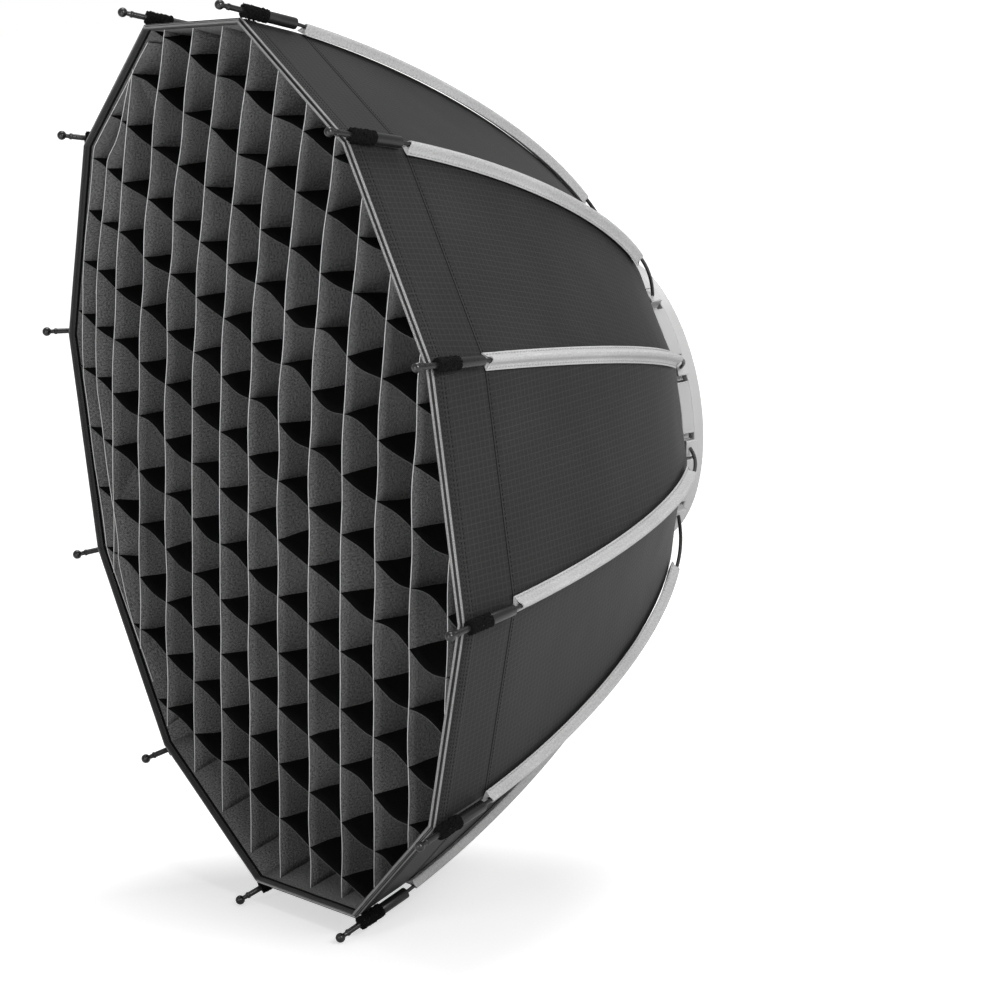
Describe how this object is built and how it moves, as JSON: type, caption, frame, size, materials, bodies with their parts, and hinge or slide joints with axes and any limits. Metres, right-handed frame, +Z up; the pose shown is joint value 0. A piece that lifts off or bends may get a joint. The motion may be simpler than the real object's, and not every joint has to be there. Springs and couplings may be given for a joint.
{
  "type": "octabox",
  "caption": "Folding umbrella-frame softbox: black cover on bowed steel ribs, egg-crate grid, two diffusers and a bayonet speed ring.",
  "frame": {"origin": "centre of the bayonet ring, on the face that rests on the lamp", "axes": "+Y along the ring's axis towards the lamp, the box opens towards -Y, +Z up"},
  "size_m": [0.645, 0.3339, 0.645],
  "materials": {
    "ring_metal": "satin machined",
    "hub_grey": "painted satin light grey",
    "plate_grey": "moulded satin light grey",
    "knuckle_grey": "moulded light grey",
    "clamp_black": "matte black",
    "pin_steel": "brushed",
    "rod_black": "black oxide, satin",
    "sleeve_fabric": "silver-grey woven tape",
    "tip_black": "glossy black",
    "cover_fabric": "black ripstop nylon, silver-white inside",
    "hem_binding": "doubled dark grey binding",
    "grid_fabric": "matte black strips with a pale edge thread",
    "diffuser_fabric": "translucent white nylon"
  },
  "bodies": {
    "hub": {"bayonet_ring": "ring_metal", "hub_rear_ring": "hub_grey", "hub_core": "hub_grey", "hub_plates": "plate_grey", "cover_clamp_ring": "clamp_black", "knuckle_pins": "pin_steel", "hub_screws": "pin_steel", "cover": "cover_fabric", "rim_hem": "hem_binding", "grid": "grid_fabric", "front_diffuser": "diffuser_fabric", "inner_baffle": "diffuser_fabric"},
    "rib_01": {"rib_01_knuckle": "knuckle_grey", "rib_01_rod": "rod_black", "rib_01_sleeve": "sleeve_fabric", "rib_01_tip": "tip_black"},
    "rib_02": {"rib_02_knuckle": "knuckle_grey", "rib_02_rod": "rod_black", "rib_02_sleeve": "sleeve_fabric", "rib_02_tip": "tip_black"},
    "rib_03": {"rib_03_knuckle": "knuckle_grey", "rib_03_rod": "rod_black", "rib_03_sleeve": "sleeve_fabric", "rib_03_tip": "tip_black"},
    "rib_04": {"rib_04_knuckle": "knuckle_grey", "rib_04_rod": "rod_black", "rib_04_sleeve": "sleeve_fabric", "rib_04_tip": "tip_black"},
    "rib_05": {"rib_05_knuckle": "knuckle_grey", "rib_05_rod": "rod_black", "rib_05_sleeve": "sleeve_fabric", "rib_05_tip": "tip_black"},
    "rib_06": {"rib_06_knuckle": "knuckle_grey", "rib_06_rod": "rod_black", "rib_06_sleeve": "sleeve_fabric", "rib_06_tip": "tip_black"},
    "rib_07": {"rib_07_knuckle": "knuckle_grey", "rib_07_rod": "rod_black", "rib_07_sleeve": "sleeve_fabric", "rib_07_tip": "tip_black"},
    "rib_08": {"rib_08_knuckle": "knuckle_grey", "rib_08_rod": "rod_black", "rib_08_sleeve": "sleeve_fabric", "rib_08_tip": "tip_black"},
    "rib_09": {"rib_09_knuckle": "knuckle_grey", "rib_09_rod": "rod_black", "rib_09_sleeve": "sleeve_fabric", "rib_09_tip": "tip_black"},
    "rib_10": {"rib_10_knuckle": "knuckle_grey", "rib_10_rod": "rod_black", "rib_10_sleeve": "sleeve_fabric", "rib_10_tip": "tip_black"},
    "rib_11": {"rib_11_knuckle": "knuckle_grey", "rib_11_rod": "rod_black", "rib_11_sleeve": "sleeve_fabric", "rib_11_tip": "tip_black"},
    "rib_12": {"rib_12_knuckle": "knuckle_grey", "rib_12_rod": "rod_black", "rib_12_sleeve": "sleeve_fabric", "rib_12_tip": "tip_black"}
  },
  "joints": [
    {"name": "rib_01_fold", "type": "hinge", "parent": "hub", "child": "rib_01", "pos_m": [0.0937, -0.018, 0.0251], "axis": [0.2588, 0, -0.9659], "range_deg": [0, 44], "deforming": ["cover", "rim_hem", "grid", "front_diffuser", "inner_baffle"]},
    {"name": "rib_02_fold", "type": "hinge", "parent": "hub", "child": "rib_02", "pos_m": [0.06859, -0.018, 0.06859], "axis": [0.7071, 0, -0.7071], "range_deg": [0, 44], "deforming": ["cover", "rim_hem", "grid", "front_diffuser", "inner_baffle"]},
    {"name": "rib_03_fold", "type": "hinge", "parent": "hub", "child": "rib_03", "pos_m": [0.0251, -0.018, 0.0937], "axis": [0.9659, 0, -0.2588], "range_deg": [0, 44], "deforming": ["cover", "rim_hem", "grid", "front_diffuser", "inner_baffle"]},
    {"name": "rib_04_fold", "type": "hinge", "parent": "hub", "child": "rib_04", "pos_m": [-0.0251, -0.018, 0.0937], "axis": [0.9659, 0, 0.2588], "range_deg": [0, 44], "deforming": ["cover", "rim_hem", "grid", "front_diffuser", "inner_baffle"]},
    {"name": "rib_05_fold", "type": "hinge", "parent": "hub", "child": "rib_05", "pos_m": [-0.06859, -0.018, 0.06859], "axis": [0.7071, 0, 0.7071], "range_deg": [0, 44], "deforming": ["cover", "rim_hem", "grid", "front_diffuser", "inner_baffle"]},
    {"name": "rib_06_fold", "type": "hinge", "parent": "hub", "child": "rib_06", "pos_m": [-0.0937, -0.018, 0.0251], "axis": [0.2588, 0, 0.9659], "range_deg": [0, 44], "deforming": ["cover", "rim_hem", "grid", "front_diffuser", "inner_baffle"]},
    {"name": "rib_07_fold", "type": "hinge", "parent": "hub", "child": "rib_07", "pos_m": [-0.0937, -0.018, -0.0251], "axis": [-0.2588, 0, 0.9659], "range_deg": [0, 44], "deforming": ["cover", "rim_hem", "grid", "front_diffuser", "inner_baffle"]},
    {"name": "rib_08_fold", "type": "hinge", "parent": "hub", "child": "rib_08", "pos_m": [-0.06859, -0.018, -0.06859], "axis": [-0.7071, 0, 0.7071], "range_deg": [0, 44], "deforming": ["cover", "rim_hem", "grid", "front_diffuser", "inner_baffle"]},
    {"name": "rib_09_fold", "type": "hinge", "parent": "hub", "child": "rib_09", "pos_m": [-0.0251, -0.018, -0.0937], "axis": [-0.9659, 0, 0.2588], "range_deg": [0, 44], "deforming": ["cover", "rim_hem", "grid", "front_diffuser", "inner_baffle"]},
    {"name": "rib_10_fold", "type": "hinge", "parent": "hub", "child": "rib_10", "pos_m": [0.0251, -0.018, -0.0937], "axis": [-0.9659, 0, -0.2588], "range_deg": [0, 44], "deforming": ["cover", "rim_hem", "grid", "front_diffuser", "inner_baffle"]},
    {"name": "rib_11_fold", "type": "hinge", "parent": "hub", "child": "rib_11", "pos_m": [0.06859, -0.018, -0.06859], "axis": [-0.7071, 0, -0.7071], "range_deg": [0, 44], "deforming": ["cover", "rim_hem", "grid", "front_diffuser", "inner_baffle"]},
    {"name": "rib_12_fold", "type": "hinge", "parent": "hub", "child": "rib_12", "pos_m": [0.0937, -0.018, -0.0251], "axis": [-0.2588, 0, -0.9659], "range_deg": [0, 44], "deforming": ["cover", "rim_hem", "grid", "front_diffuser", "inner_baffle"]}
  ],
  "couplings": [
    {"joint": "rib_02_fold", "follows": "rib_01_fold", "ratio": 1},
    {"joint": "rib_03_fold", "follows": "rib_01_fold", "ratio": 1},
    {"joint": "rib_04_fold", "follows": "rib_01_fold", "ratio": 1},
    {"joint": "rib_05_fold", "follows": "rib_01_fold", "ratio": 1},
    {"joint": "rib_06_fold", "follows": "rib_01_fold", "ratio": 1},
    {"joint": "rib_07_fold", "follows": "rib_01_fold", "ratio": 1},
    {"joint": "rib_08_fold", "follows": "rib_01_fold", "ratio": 1},
    {"joint": "rib_09_fold", "follows": "rib_01_fold", "ratio": 1},
    {"joint": "rib_10_fold", "follows": "rib_01_fold", "ratio": 1},
    {"joint": "rib_11_fold", "follows": "rib_01_fold", "ratio": 1},
    {"joint": "rib_12_fold", "follows": "rib_01_fold", "ratio": 1}
  ]
}
